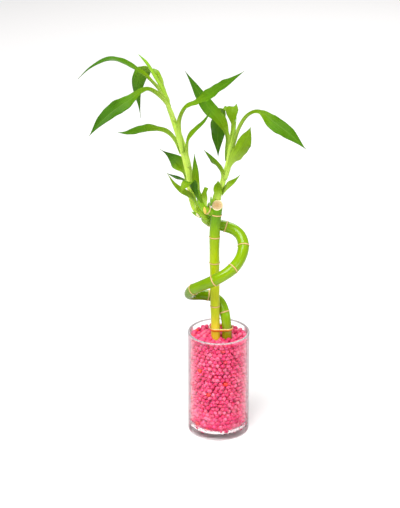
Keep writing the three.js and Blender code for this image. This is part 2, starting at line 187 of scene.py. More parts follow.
line = [form.verts.new((x * MM, 0, z * MM)) for x, z in profile]
edges = [form.edges.new(pair) for pair in zip(line, line[1:])]
bmesh.ops.spin(
    form, geom=line + edges, cent=(0, 0, 0), axis=(0, 0, 1), angle=math.tau,
    steps=TURN_STEPS, use_merge=True,
)
bmesh.ops.remove_doubles(form, verts=form.verts, dist=NO_GAP)
bmesh.ops.recalc_face_normals(form, faces=form.faces)


def let_lamps_through(tree, shader):
    """Light from the softboxes passes straight through the thin glass to the gravel and the
    table, less about a tenth, which its faces throw back."""
    path = add(tree, "ShaderNodeLightPath")
    straight_through = add(tree, "ShaderNodeBsdfTransparent", {"Color": linear("#F2F2F2")})
    glass = add(tree, "ShaderNodeMixShader", {
        0: path.outputs["Is Shadow Ray"], 1: shader.outputs["BSDF"],
        2: straight_through.outputs["BSDF"],
    })
    output = next(node for node in tree.nodes if node.type == "OUTPUT_MATERIAL")
    tree.links.new(glass.outputs["Shader"], output.inputs["Surface"])
    return output


# Fire-polished soda-lime glass: no grain at all, and an index of 1.52. Its mirror tint is set
# lower, as the picture shows next to no table in the glass. It takes up some light over its
# thickness, which greys its base. At a slant, where the eye looks along the wall, its colour is
# darkened and tinted pink: painted shade on the edges, with a painted reflection of the gravel.
clear_glass, tree, shader = new_material("clear soda-lime glass", {
    "Roughness": 0.0, "IOR": GLASS_INDEX, "Specular Tint": linear("#505050"),
    "Transmission Weight": 1.0,
})
slant = add(tree, "ShaderNodeLayerWeight", {"Blend": 0.5})
painted_edge_shade = add(
    tree, "ShaderNodeValToRGB", {"Fac": slant.outputs["Facing"]},
    stops=((0.58, "#FFFFFF"), (0.62, "#A86878"), (0.8, "#6A444E")),
)
tree.links.new(painted_edge_shade.outputs["Color"], shader.inputs["Base Color"])
output = let_lamps_through(tree, shader)
body_tint = add(tree, "ShaderNodeVolumeAbsorption", {"Color": linear("#D8D4D5"), "Density": 10.0})
tree.links.new(body_tint.outputs["Volume"], output.inputs["Volume"])

# The rim and the foot get a dulled glass, with specks 1 mm apart, that scatters part of the
# light, the foot more. The rim's grey is painted shade for its dark edge line, and the foot's
# white is painted light that brightens the thick base.
painted_light_glass = []
for part, colour, clear in (("rim", "#D4CCCE", 0.5), ("foot", "#FFFFFF", 0.3)):
    material, tree, shader = new_material("dulled glass of the " + part, {
        "Base Color": linear(colour), "IOR": GLASS_INDEX, "Transmission Weight": clear,
    })
    place = add(tree, "ShaderNodeTexCoord").outputs["Object"]
    specks = add(tree, "ShaderNodeTexNoise", {"Vector": place, "Scale": 900, "Detail": 3})
    haze = add(
        tree, "ShaderNodeMapRange",
        {"Value": specks.outputs["Fac"], "To Min": 0.02, "To Max": 0.12},
    )
    tree.links.new(haze.outputs["Result"], shader.inputs["Roughness"])
    let_lamps_through(tree, shader)
    painted_light_glass.append(material)
for face in form.faces:
    height = face.calc_center_median().z / MM
    if height > PAINTED_RIM_ABOVE:
        face.material_index = 1
    elif height < PAINTED_FOOT_BELOW:
        face.material_index = 2
vase = finish_piece("vase_glass", form, [clear_glass, *painted_light_glass])
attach(vase, "root")
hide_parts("vase")


# Gravel: crushed quartz, dyed pink, about 5 mm across, poured in loose to just under the rim.
# The stones are larger and rounder at the bottom, and a few are orange. Only the outer layers are
# modelled as stones, round a darker core that closes the gaps between them.
GRAVEL_TOP = 113.6
STONE = 5.5
CORE_RADIUS = 26
CORE_ROUNDING = 9
ROUND_BELOW = VASE_BASE + 26
LARGE_BELOW = VASE_BASE + 22
LARGER = 1.2
HALF_STONE = 0.53
ROW_RISE = 0.87
stone_random = random.Random(7)


def crushed_stone(sharpness):
    """A stone about 1 across: a cube rounded to a ball, with its corners pushed in and out."""
    form = bmesh.new()
    bmesh.ops.create_cube(form, size=1)
    bmesh.ops.subdivide_edges(form, edges=form.edges[:], cuts=1, use_grid_fill=True)
    for vertex in form.verts:
        pushed = stone_random.uniform(1 - sharpness, 1 + sharpness / 3)
        vertex.co = vertex.co.normalized() * HALF_STONE * pushed
    squash = [stone_random.uniform(0.86, 1.14) for _ in range(3)]
    bmesh.ops.scale(form, vec=squash, verts=form.verts)
    data = bpy.data.meshes.new("stone")
    form.to_mesh(data)
    form.free()
    return data


def wall_places(depth, high, pitch):
    """Places in a loose brick pattern inside the glass, at a depth from it: over the base and
    its corner, then up the wall."""
    radius = INSIDE_CORNER - depth
    flat = inner_radius - INSIDE_CORNER
    bowl = radius * math.pi / 2
    places = []
    row = 0
    gone = pitch / 2
    while gone < flat + bowl + high - VASE_BASE - INSIDE_CORNER:
        past = gone - flat
        if past < 0:
            across, z = gone, VASE_BASE + depth
        elif past < bowl:
            across = flat + radius * math.sin(past / radius)
            z = VASE_BASE + INSIDE_CORNER - radius * math.cos(past / radius)
        else:
            across, z = flat + radius, VASE_BASE + INSIDE_CORNER + past - bowl
        count = max(3, int(math.tau * across / pitch))
        for i in range(count):
            turn = (i + 0.5 * (row % 2) + stone_random.uniform(-0.2, 0.2)) / count * math.tau
            up = z + stone_random.uniform(0, 0.2) * pitch
            places.append((across * math.cos(turn), across * math.sin(turn), up))
        gone += pitch * ROW_RISE
        row += 1
    return places


def disc_places(radius, z, pitch, spread):
    """Places in a loose pattern over the top of the gravel."""
    places = []
    steps = int(radius / pitch) + 2
    for j in range(-steps, steps + 1):
        for i in range(-steps, steps + 1):
            x = (i + 0.5 * (j % 2) + stone_random.uniform(-0.2, 0.2)) * pitch
            y = (j * ROW_RISE + stone_random.uniform(-0.2, 0.2)) * pitch
            if math.hypot(x, y) < radius:
                places.append((x, y, z + stone_random.uniform(-spread, spread)))
    return places


CANE_FEET = ((-3.5, -3), (9, -3))
CANE_ROOM = 5.9
beds = {
    "gravel_against_glass": wall_places(STONE / 2, GRAVEL_TOP - 0.6, STONE * 0.92),
    "gravel_behind": wall_places(STONE * 1.05, GRAVEL_TOP - 2, STONE * 0.95)
    + disc_places(inner_radius - STONE * 0.95, GRAVEL_TOP - 1.5, STONE * 0.97, 0.8)
    + disc_places(inner_radius - 2 * STONE, GRAVEL_TOP - 4.4, STONE, 0.6),
}
sharp_stones = [crushed_stone(0.2) for _ in range(14)]
round_stones = [crushed_stone(0.05) for _ in range(6)]
dyed_gravel, tree, shader = new_material("dyed quartz gravel", {
    "Roughness": 0.45, "Specular IOR Level": 0.3, "Subsurface Weight": 0.4,
    "Subsurface Radius": (1.0, 0.1, 0.25), "Subsurface Scale": 0.003,
})
for bed_name, places in beds.items():
    form = bmesh.new()
    tints = []
    for x, y, z in places:
        if min(math.hypot(x - foot[0], y - foot[1]) for foot in CANE_FEET) < CANE_ROOM:
            continue
        rounder = z < ROUND_BELOW or stone_random.random() < 0.2
        stone = stone_random.choice(round_stones if rounder else sharp_stones)
        size = STONE * stone_random.uniform(0.9, 1.12) * (LARGER if z < LARGE_BELOW else 1)
        axis = Vector([stone_random.gauss(0, 1) for _ in range(3)]).normalized()
        turn = Matrix.Rotation(stone_random.uniform(0, math.tau), 4, axis)
        place = Matrix.Translation(Vector((x, y, z)) * MM) @ turn @ Matrix.Scale(size * MM, 4)
        stone.transform(place)
        form.from_mesh(stone)
        stone.transform(place.inverted())
        tints += [stone_random.random()] * len(stone.vertices)
    gravel = finish_piece(bed_name, form, [dyed_gravel])
    gravel.data.attributes.new("tint", "FLOAT", "POINT").data.foreach_set("value", tints)
    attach(gravel, "root")
    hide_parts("gravel")


def mottle(tree, colour, grain, low, high, grain_low=0.0, grain_high=1.0):
    """A colour made uneven: low to high times it, as the noise called grain goes."""
    shade = add(tree, "ShaderNodeMapRange", {
        "Value": grain.outputs["Fac"], "From Min": grain_low, "From Max": grain_high,
        "To Min": low, "To Max": high,
    })
    uneven = add(
        tree, "ShaderNodeMix", {"Factor": 1.0, "A": colour, "B": shade.outputs["Result"]},
        data_type="RGBA", blend_type="MULTIPLY",
    )
    return uneven.outputs["Result"]


# Dye lies unevenly on crushed quartz: each stone has its own pink, in patches about 1 mm across,
# with fine pits 0.3 mm apart.
tint = add(tree, "ShaderNodeAttribute", attribute_name="tint")
pinks = add(tree, "ShaderNodeValToRGB", {"Fac": tint.outputs["Fac"]}, stops=(
    (0, "#DA3468"), (0.25, "#E84476"), (0.7, "#F05C86"), (0.955, "#F67898"), (0.975, "#E84870"),
    (1, "#FF4C20"),
))
place = add(tree, "ShaderNodeTexCoord").outputs["Object"]
patches = add(tree, "ShaderNodeTexNoise", {"Vector": place, "Scale": 900, "Detail": 3})
pits = add(tree, "ShaderNodeTexNoise", {"Vector": place, "Scale": 3300, "Detail": 2})
dye = mottle(tree, pinks.outputs["Color"], patches, 0.88, 1.1)
pitted = add(
    tree, "ShaderNodeBump", {"Height": pits.outputs["Fac"], "Strength": 0.15, "Distance": 0.0002},
)
tree.links.new(dye, shader.inputs["Base Color"])
tree.links.new(pitted.outputs["Normal"], shader.inputs["Normal"])

form = bmesh.new()
core_low = VASE_BASE + 6
core_high = GRAVEL_TOP - 5.5
middle = Matrix.Translation((0, 0, (core_low + core_high) / 2 * MM))
bmesh.ops.create_cone(
    form, cap_ends=True, segments=48, radius1=CORE_RADIUS * MM, radius2=CORE_RADIUS * MM,
    depth=(core_high - core_low) * MM, matrix=middle,
)
core_rims = [
    edge for edge in form.edges if abs(edge.verts[0].co.z - edge.verts[1].co.z) < NO_GAP
]
bmesh.ops.bevel(
    form, geom=core_rims, offset=CORE_ROUNDING * MM, segments=6, profile=0.5, affect="EDGES",
    material=-1,
)
# The same quartz deeper down, seen in the gaps: its deeper crimson is painted shade, with the red
# of light passed from stone to stone painted in. Grains 3 mm apart.
shaded_gravel, tree, shader = new_material("gravel in shade", {"Roughness": 0.9})
place = add(tree, "ShaderNodeTexCoord").outputs["Object"]
grains = add(tree, "ShaderNodeTexVoronoi", {"Vector": place, "Scale": 330})
painted_shade_depths = add(
    tree, "ShaderNodeValToRGB", {"Fac": grains.outputs["Distance"]},
    stops=((0, "#F02A60"), (1, "#C80C40")),
)
tree.links.new(painted_shade_depths.outputs["Color"], shader.inputs["Base Color"])
core = finish_piece("gravel_core", form, [shaded_gravel])
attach(core, "root")
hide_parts("gravel")


# Straight cane: one living cane, 9 to 12 mm thick, that stands in the gravel. Tan rings are the
# scars of its old leaf sheaths, and its top was sawn off at a slant and has dried to tan wood.
STRAIGHT_ROUTE = [(-3.5, -3, 9), (-3.5, -3, 111), (-4.5, -3, 165), (-4.5, -3, 246), (-1, -3, 278)]
STRAIGHT_RADII = [4.7, 4.8, 5.2, 6.0]
STRAIGHT_RINGS = [114.5, 142.7, 168.8, 193.8, 223.8, 249.8]
CUT_POINT = (-2.5, -3, 269)
CUT_LEAN = 33
RING_HEIGHT = 0.45
RING_REACH = 1.1
CANE_SIDES = 32
CANE_STEP = 1.6
RING_STEPS = (-1, -0.66, -0.33, 0, 0.33, 0.66, 1)
END_STEPS = (1, 0.85, 0.7, 0.55, 0.4, 0.27, 0.16, 0.08, 0.02, 0)
WAIST = 0.12
WAIST_LENGTH = 26
UNEVEN = 0.06
CURVE_STEPS = 40


def smooth_route(route):
    """A curve through the route's points, as close samples in millimetres with their distances."""
    points = [Vector(p) for p in route]
    ends = [2 * points[0] - points[1]] + points + [2 * points[-1] - points[-2]]
    samples = []
    for p0, p1, p2, p3 in zip(ends, ends[1:], ends[2:], ends[3:]):
        d0, d1, d2 = [math.sqrt((b - a).length) for a, b in ((p0, p1), (p1, p2), (p2, p3))]
        leave = ((p1 - p0) / d0 - (p2 - p0) / (d0 + d1) + (p2 - p1) / d1) * d1
        arrive = ((p2 - p1) / d1 - (p3 - p1) / (d1 + d2) + (p3 - p2) / d2) * d1
        for step in range(CURVE_STEPS):
            t = step / CURVE_STEPS
            bend = (2 * p1 - 2 * p2 + leave + arrive) * t ** 3
            samples.append(bend + (3 * p2 - 3 * p1 - 2 * leave - arrive) * t ** 2 + leave * t + p1)
    samples.append(points[-1])
    gone = [0.0]
    for a, b in zip(samples, samples[1:]):
        gone.append(gone[-1] + (b - a).length)
    return samples, gone


def along(values, share):
    """A value read at a share, 0 to 1, from a list of evenly spread values."""
    at = min(max(share, 0), 1) * (len(values) - 1)
    i = min(int(at), len(values) - 2)
    return values[i] + (values[i + 1] - values[i]) * (at - i)


def stations(curve, distances, first_side):
    """At each distance along a curve: its point, its direction, and the side and up directions,
    which are carried along it without turning about it."""
    samples, gone = curve
    side = Vector(first_side)
    found = []
    i = 0
    for distance in distances:
        distance = min(max(distance, 0), gone[-1])
        while i < len(gone) - 2 and gone[i + 1] < distance:
            i += 1
        share = (distance - gone[i]) / (gone[i + 1] - gone[i])
        point = samples[i].lerp(samples[i + 1], share)
        before = samples[max(i - 1, 0)]
        after = samples[min(i + 2, len(samples) - 1)]
        way = (after - before).normalized()
        side = (side - side.dot(way) * way).normalized()
        found.append((point, way, side.copy(), side.cross(way)))
    return found


def lay_sheet(columns, rows, place, round_and_closed=False):
    """A sheet of quads with its own UV map, laid where place(row, share across) says, in
    millimetres. A round one is closed along its seam."""
    form = bmesh.new()
    form.loops.layers.uv.new("UVMap")
    bmesh.ops.create_grid(form, x_segments=columns, y_segments=rows, size=0.5, calc_uvs=True)
    for vertex in form.verts:
        share = vertex.co.x + 0.5
        row = round((vertex.co.y + 0.5) * rows)
        vertex.co = place(row, share) * MM
    if round_and_closed:
        bmesh.ops.remove_doubles(form, verts=form.verts, dist=NO_GAP)
    return form


def cap_ends(form):
    """Closes the open ends of a tube and turns its faces outwards."""
    loose = [edge for edge in form.edges if edge.is_boundary]
    bmesh.ops.holes_fill(form, edges=loose, sides=0)
    bmesh.ops.recalc_face_normals(form, faces=form.faces)


def from_ring(distance, rings):
    """How far a place along a cane is from its nearest node ring."""
    return min(abs(distance - ring) for ring in rings)


def ring_shape(distance, rings):
    """How strongly a node ring shows at a distance along a cane: 1 on the ring, 0 away from it."""
    return max(0.0, 1 - from_ring(distance, rings) / RING_REACH)


def grow_cane(route, radii, rings, round_end=False):
    """A cane: a tube with raised rings and a slight waist between them, closed at both ends, with
    a ring attribute for its skin. Its UV map goes once round it and from its foot to its top."""
    curve = smooth_route(route)
    length = curve[1][-1]
    distances = [i * CANE_STEP for i in range(int(length / CANE_STEP) + 1)]
    for ring in rings:
        distances += [ring + RING_REACH * share for share in RING_STEPS]
    end = radii[-1]
    if round_end:
        distances = [d for d in distances if d < length - end]
        distances += [length - end * share for share in END_STEPS]
    else:
        distances = [d for d in distances if d < length] + [length]
    distances = sorted(set(distances))
    frames = stations(curve, distances, (1, 0, 0))
    rows = len(distances) - 1

    def place(row, share):
        point, _, side, up = frames[row]
        distance = distances[row]
        turn = share * math.tau
        swell = RING_HEIGHT * ring_shape(distance, rings) ** 0.7
        waist = WAIST * math.cos(math.tau * from_ring(distance, rings) / WAIST_LENGTH)
        uneven = UNEVEN * math.sin(3 * turn + distance * 0.05)
        radius = along(radii, distance / length) + swell + waist + uneven
        if round_end and distance > length - end:
            past = (distance - (length - end)) / end
            radius *= math.sqrt(max(0.0004, 1 - past * past))
        return point + (side * math.cos(turn) + up * math.sin(turn)) * radius

    form = lay_sheet(CANE_SIDES, rows, place, round_and_closed=True)
    cap_ends(form)
    ring_layer = form.verts.layers.float.new("ring")
    uv = form.loops.layers.uv.active

    def distance_at(loop):
        return distances[min(rows, max(0, round(loop[uv].uv.y * rows)))]

    for vertex in form.verts:
        vertex[ring_layer] = ring_shape(distance_at(vertex.link_loops[0]), rings)
    for face in form.faces:
        for loop in face.loops:
            loop[uv].uv.y = distance_at(loop) / length
    return form


def stretched_noise(tree, scale, detail):
    """A noise drawn out along a piece by its UV map: so many times round it and along it."""
    place = add(tree, "ShaderNodeUVMap", uv_map="UVMap")
    stretch = add(
        tree, "ShaderNodeMapping", {"Vector": place.outputs["UV"], "Scale": (*scale, 1)},
    )
    grain = {"Vector": stretch.outputs["Vector"], "Scale": 1, "Detail": detail}
    return add(tree, "ShaderNodeTexNoise", grain)


def streaked_green(tree, shader, greens, streaks, low, high, strength):
    """A living green, from a piece's foot to its top, with fine streaks along it that darken it
    to low, brighten it to high and stand out a little."""
    place = add(tree, "ShaderNodeUVMap", uv_map="UVMap")
    height = add(tree, "ShaderNodeSeparateXYZ", {"Vector": place.outputs["UV"]}).outputs["Y"]
    living = add(tree, "ShaderNodeValToRGB", {"Fac": height}, stops=greens)
    streak = stretched_noise(tree, streaks, 3)
    ridges = {"Height": streak.outputs["Fac"], "Strength": strength, "Distance": 0.0003}
    bump = add(tree, "ShaderNodeBump", ridges)
    tree.links.new(bump.outputs["Normal"], shader.inputs["Normal"])
    return mottle(tree, living.outputs["Color"], streak, low, high)


def cane_skin(name, greens, streaks, roughness, gloss):
    """The waxy living skin of a cane: a film of wax over green, with streaks 1 mm wide and 15 mm
    long, and dry tan rings. greens run from its foot to its top."""
    material, tree, shader = new_material(name, {"Specular IOR Level": gloss})
    green = streaked_green(tree, shader, greens, (30, streaks), 0.72, 1.25, 0.12)
    # A node is a dry tan ring between two thin brown lines.
    ring = add(tree, "ShaderNodeAttribute", attribute_name="ring").outputs["Fac"]
    scar = add(tree, "ShaderNodeValToRGB", {"Fac": ring}, stops=(
        (0, "#6E6A10"), (0.35, "#8A6420"), (0.6, "#D0A860"), (1, "#E6CC92"),
    ))
    dry = add(tree, "ShaderNodeMapRange", {"Value": ring, "From Min": 0.05, "From Max": 0.4})
    skin = add(
        tree, "ShaderNodeMix",
        {"Factor": dry.outputs["Result"], "A": green, "B": scar.outputs["Color"]},
        data_type="RGBA",
    )
    wax = add(tree, "ShaderNodeMapRange", {"Value": ring, "To Min": roughness, "To Max": 0.75})
    tree.links.new(skin.outputs["Result"], shader.inputs["Base Color"])
    tree.links.new(wax.outputs["Result"], shader.inputs["Roughness"])
    return material


straight_skin = cane_skin("straight cane skin", (
    (0.0, "#D8C848"), (0.445, "#E0CC2E"), (0.5, "#B8C20C"), (0.58, "#B6BE08"), (0.67, "#B6C808"),
    (0.755, "#A8BE04"), (0.84, "#88AC00"), (0.915, "#629408"), (0.94, "#5C9004"), (1.0, "#78A810"),
), streaks=18, roughness=0.3, gloss=0.2)

# Dried cane wood: sawn, matt, tan pith with fibres seen end on, and a paler rim. The fibres are
# drawn about 1 mm apart, coarser than life, so that they show.
cut_wood, tree, shader = new_material("dried cane wood", {"Roughness": 0.8})
place = add(tree, "ShaderNodeTexCoord").outputs["Object"]
centre = add(
    tree, "ShaderNodeMapping", {"Vector": place, "Location": [-value * MM for value in CUT_POINT]},
)
reach = add(tree, "ShaderNodeVectorMath", {0: centre.outputs["Vector"]}, operation="LENGTH")
rim = add(
    tree, "ShaderNodeMapRange",
    {"Value": reach.outputs["Value"], "From Min": 0.0015, "From Max": 0.0062},
)
tan = add(tree, "ShaderNodeValToRGB", {"Fac": rim.outputs["Result"]}, stops=(
    (0, "#BC9460"), (0.3, "#BC9C6C"), (0.85, "#C8AC82"), (1, "#E6D2A8"),
))
fibres = add(tree, "ShaderNodeTexNoise", {"Vector": place, "Scale": 1100, "Detail": 4})
wood = mottle(tree, tan.outputs["Color"], fibres, 0.78, 1.2, grain_low=0.35, grain_high=0.65)
torn = add(
    tree, "ShaderNodeBump", {"Height": fibres.outputs["Fac"], "Strength": 0.5, "Distance": 0.0004},
)
tree.links.new(wood, shader.inputs["Base Color"])
tree.links.new(torn.outputs["Normal"], shader.inputs["Normal"])

form = grow_cane(STRAIGHT_ROUTE, STRAIGHT_RADII, STRAIGHT_RINGS)
lean = math.radians(CUT_LEAN)
cut = bmesh.ops.bisect_plane(
    form, geom=form.verts[:] + form.edges[:] + form.faces[:], clear_outer=True,
    plane_co=Vector(CUT_POINT) * MM, plane_no=(0, -math.sin(lean), math.cos(lean)),
)
saw_edge = [item for item in cut["geom_cut"] if isinstance(item, bmesh.types.BMEdge)]
sawn = bmesh.ops.edgeloop_fill(form, edges=saw_edge, mat_nr=1)["faces"]
bmesh.ops.inset_individual(form, faces=sawn, thickness=0.5 * MM, depth=0.12 * MM)
straight = finish_piece("straight_cane_skin", form, [straight_skin, cut_wood])
for polygon in straight.data.polygons:
    polygon.use_smooth = polygon.material_index == 0
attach(straight, "root")
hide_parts("straight_cane")


# Spiral cane: one living cane, trained in a full turn round the straight one as it grew. Its skin
# is glossy and greener above the gravel, with a tan ring at each node, and its tip is live.
SPIRAL_ROUTE = [
    (9, -3, 9), (9, -3, 90), (9, -3, 112), (8.5, -2, 128), (6, 2.5, 141.5), (1.5, 8.5, 150.5),
    (-7.5, 11.5, 156), (-18, 10, 158.5), (-27, 5.5, 160.5), (-32, -2, 165), (-29, -11, 173.5),
    (-19.5, -20, 182.5), (-5, -26, 192), (8, -26, 200), (17.5, -20, 206.5), (24, -11, 214.5),
    (26, -2, 222.5), (23, 5.5, 230.5), (16, 10, 235.5), (7, 12, 238.5), (-3, 12, 241.5),
    (-11, 9.5, 246.5), (-17, 5, 253),
]
SPIRAL_RADII = [5.1, 5.1, 5.8, 6.2, 5.8]
SPIRAL_RINGS = [133.5, 161, 204.5, 234.5, 259, 289, 320.5, 339]
spiral_skin = cane_skin("spiral cane skin", (
    (0.0, "#8E8E08"), (0.31, "#8A9004"), (0.37, "#8CB80C"), (0.48, "#5C8000"), (0.53, "#507400"),
    (0.6, "#7AA000"), (0.64, "#729800"), (0.7, "#84A800"), (0.83, "#84A804"), (0.93, "#76A00A"),
    (1.0, "#9CC040"),
), streaks=24, roughness=0.16, gloss=0.3)
form = grow_cane(SPIRAL_ROUTE, SPIRAL_RADII, SPIRAL_RINGS, round_end=True)
spiral = finish_piece("spiral_cane_skin", form, [spiral_skin])
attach(spiral, "root")
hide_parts("spiral_cane")


# Tie: a flat band of thin gold foil on paper, wound once round both canes just above the gravel
# to hold them together. It is creased across, and its lower half shows orange.
TIE_MIDDLE = (2.75, -2.7, 124.6)
TIE_SPAN = 12.6
TIE_BORE = 6.1
TIE_WALL = 0.5
TIE_WIDTH = 2.9
TIE_TILT = 1
TIE_STEPS = 120
tie_random = random.Random(3)
tie_creases = [tie_random.uniform(-0.12, 0.12) for _ in range(TIE_STEPS)]


def tie_place(row, share):
    """The band's outline round two circles, with its cross-section as a thin round-edged strip."""
    step = row % TIE_STEPS
    half_turn = math.pi * TIE_BORE
    side, at = divmod(step / TIE_STEPS * 2 * (half_turn + TIE_SPAN), half_turn + TIE_SPAN)
    facing = 1 - 2 * side
    angle = min(at, half_turn) / TIE_BORE - math.pi / 2
    out = Vector((math.cos(angle), math.sin(angle), 0)) * facing
    past = max(0.0, at - half_turn)
    base = Vector(((TIE_SPAN / 2 - past) * facing, 0, 0)) + out * TIE_BORE
    turn = share * math.tau
    crease = tie_creases[step]
    flat = Vector((0, 0, math.sin(turn) * TIE_WIDTH / 2 * (1 + crease)))
    point = base + out * (TIE_WALL / 2 + math.cos(turn) * TIE_WALL / 2 + crease) + flat
    tilt = Matrix.Rotation(math.radians(-TIE_TILT), 3, "Y")
    return tilt @ point + Vector(TIE_MIDDLE)


form = lay_sheet(10, TIE_STEPS, tie_place, round_and_closed=True)
bmesh.ops.recalc_face_normals(form, faces=form.faces)
# Foil pressed on paper: half metal and half print, shiny, with crinkles 0.7 mm apart. Its colour
# runs from orange print at its lower edge to pale gold at its upper one, which is a painted
# highlight.
gold_foil, tree, shader = new_material("gold foil on paper", {"Metallic": 0.6, "Roughness": 0.3})
place = add(tree, "ShaderNodeTexCoord").outputs["Object"]
height = add(tree, "ShaderNodeSeparateXYZ", {"Vector": place})
band = add(
    tree, "ShaderNodeMapRange",
    {"Value": height.outputs["Z"], "From Min": 0.1234, "From Max": 0.1259},
)
golds_and_painted_highlight = add(
    tree, "ShaderNodeValToRGB", {"Fac": band.outputs["Result"]},
    stops=((0, "#F06008"), (0.5, "#F0A830"), (1, "#F6E2A0")),
)
crinkle = add(tree, "ShaderNodeTexNoise", {"Vector": place, "Scale": 1500, "Detail": 2})
crinkled = add(
    tree, "ShaderNodeBump", {"Height": crinkle.outputs["Fac"], "Strength": 0.5, "Distance": 0.0003},
)
tree.links.new(golds_and_painted_highlight.outputs["Color"], shader.inputs["Base Color"])
tree.links.new(crinkled.outputs["Normal"], shader.inputs["Normal"])
tie = finish_piece("gold_tie", form, [gold_foil])
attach(tie, "root")
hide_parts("tie")


# Left shoot: the live tip of the spiral cane. A pale fleshy stem wrapped in leaf sheaths, its
# youngest leaf still rolled in a spear, and nine leaves that arch away from it.
STEM_STEP = 1.5
STEM_SIDES = 20
STEM_TIP = 0.3
LEAF_GLOW = (0.4, 1.0, 0.1)


def ease(share):
    """A share from 0 to 1, made to start and stop gently."""
    return share * share * (3 - 2 * share)


def grow_stem(name, route, radii, greens, node):
    """A stem: a smooth tube through the route, with its radius at each point of it."""
    curve = smooth_route(route)
    length = curve[1][-1]
    marks = [curve[1][i * CURVE_STEPS] for i in range(len(route))]
    rows = int(length / STEM_STEP)
    distances = [length * i / rows for i in range(rows + 1)]
    frames = stations(curve, distances, (1, 0, 0))

    def place(row, share):
        point, _, side, up = frames[row]
        distance = distances[row]
        i = max(k for k in range(len(marks) - 1) if marks[k] <= distance + NO_GAP)
        inside = ease((distance - marks[i]) / (marks[i + 1] - marks[i]))
        radius = radii[i] + (radii[i + 1] - radii[i]) * min(inside, 1)
        if row == rows:
            radius *= STEM_TIP
        turn = share * math.tau
        return point + (side * math.cos(turn) + up * math.sin(turn)) * radius

    form = lay_sheet(STEM_SIDES, rows, place, round_and_closed=True)
    cap_ends(form)
    piece = finish_piece(name, form, [stem_material(name.replace("_", " ") + " skin", greens)])
    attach(piece, "root")
    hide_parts(node)
    return curve


def stem_material(name, greens):
    """The skin of a young stem: smooth, waxy and a little see-through, with faint lines along it
    1.5 mm apart. greens run from its foot to its tip."""
    material, tree, shader = new_material(name, {
        "Roughness": 0.4, "Specular IOR Level": 0.25, "Subsurface Weight": 0.15,
        "Subsurface Radius": LEAF_GLOW, "Subsurface Scale": 0.002,
    })
    green = streaked_green(tree, shader, greens, (16, 2), 0.7, 1.3, 0.15)
    tree.links.new(green, shader.inputs["Base Color"])
    return material


# Living leaf: parallel veins 1 mm apart, a slightly paler midrib, and a film of wax that gives a
# soft sheen. age, from 0 to 1, runs from the pale sheath to the dark old blade; on the folded
# middle leaf it also carries painted shade.
leaf_green, tree, shader = new_material("leaf blade", {
    "Roughness": 0.5, "Specular IOR Level": 0.12, "Subsurface Weight": 0.08,
    "Subsurface Radius": LEAF_GLOW, "Subsurface Scale": 0.001,
})
age_and_shade = add(tree, "ShaderNodeAttribute", attribute_name="age_and_shade")
ages_and_shade = add(tree, "ShaderNodeValToRGB", {"Fac": age_and_shade.outputs["Fac"]}, stops=(
    (0, "#BEDC5C"), (0.35, "#74980A"), (0.6, "#507E08"), (0.85, "#376604"), (1, "#2B5600"),
))
green = mottle(tree, ages_and_shade.outputs["Color"], stretched_noise(tree, (14, 2.5), 4), 0.6, 1.4)
place = add(tree, "ShaderNodeUVMap", uv_map="UVMap")
across = add(tree, "ShaderNodeSeparateXYZ", {"Vector": place.outputs["UV"]}).outputs["X"]
from_rib = add(tree, "ShaderNodeMath", {0: across, 1: 0.5}, operation="SUBTRACT")
off_rib = add(tree, "ShaderNodeMath", {0: from_rib.outputs["Value"]}, operation="ABSOLUTE")
rib = add(
    tree, "ShaderNodeMapRange",
    {"Value": off_rib.outputs["Value"], "From Max": 0.04, "To Min": 0.2, "To Max": 0.0},
)
ribbed = add(
    tree, "ShaderNodeMix", {"Factor": rib.outputs["Result"], "A": green, "B": linear("#8CBC38")},
    data_type="RGBA",
)
furrows = add(tree, "ShaderNodeTexWave", {
    "Vector": place.outputs["UV"], "Scale": 2.4, "Distortion": 0.6, "Detail": 1, "Detail Scale": 1,
}, bands_direction="X")
ridges = {"Height": furrows.outputs["Fac"], "Strength": 0.25, "Distance": 0.0004}
bump = add(tree, "ShaderNodeBump", ridges)
tree.links.new(ribbed.outputs["Result"], shader.inputs["Base Color"])
tree.links.new(bump.outputs["Normal"], shader.inputs["Normal"])

LEAF_THICKNESS = 0.45
LEAF_COLUMNS = 14
LEAF_STEP = 1.8
BLADE_TIP = 0.7
FOLD = 0.17
CUP_DEGREES = 34
SHEATH = 0.2
PALE_SHARE = SHEATH * 0.6
SHEATH_WIDTH = 10.0
SHEATH_LEAST = 2.5
WRAP_DEGREES = 150
STEM_CLOSE = 2.2
NECK_DEGREES = 60
NECK_FOLD = 48
OPENING = 0.25
WIDE_HALF = 7
LONG_RIPPLE = 4.2
SHORT_RIPPLE = 1.9


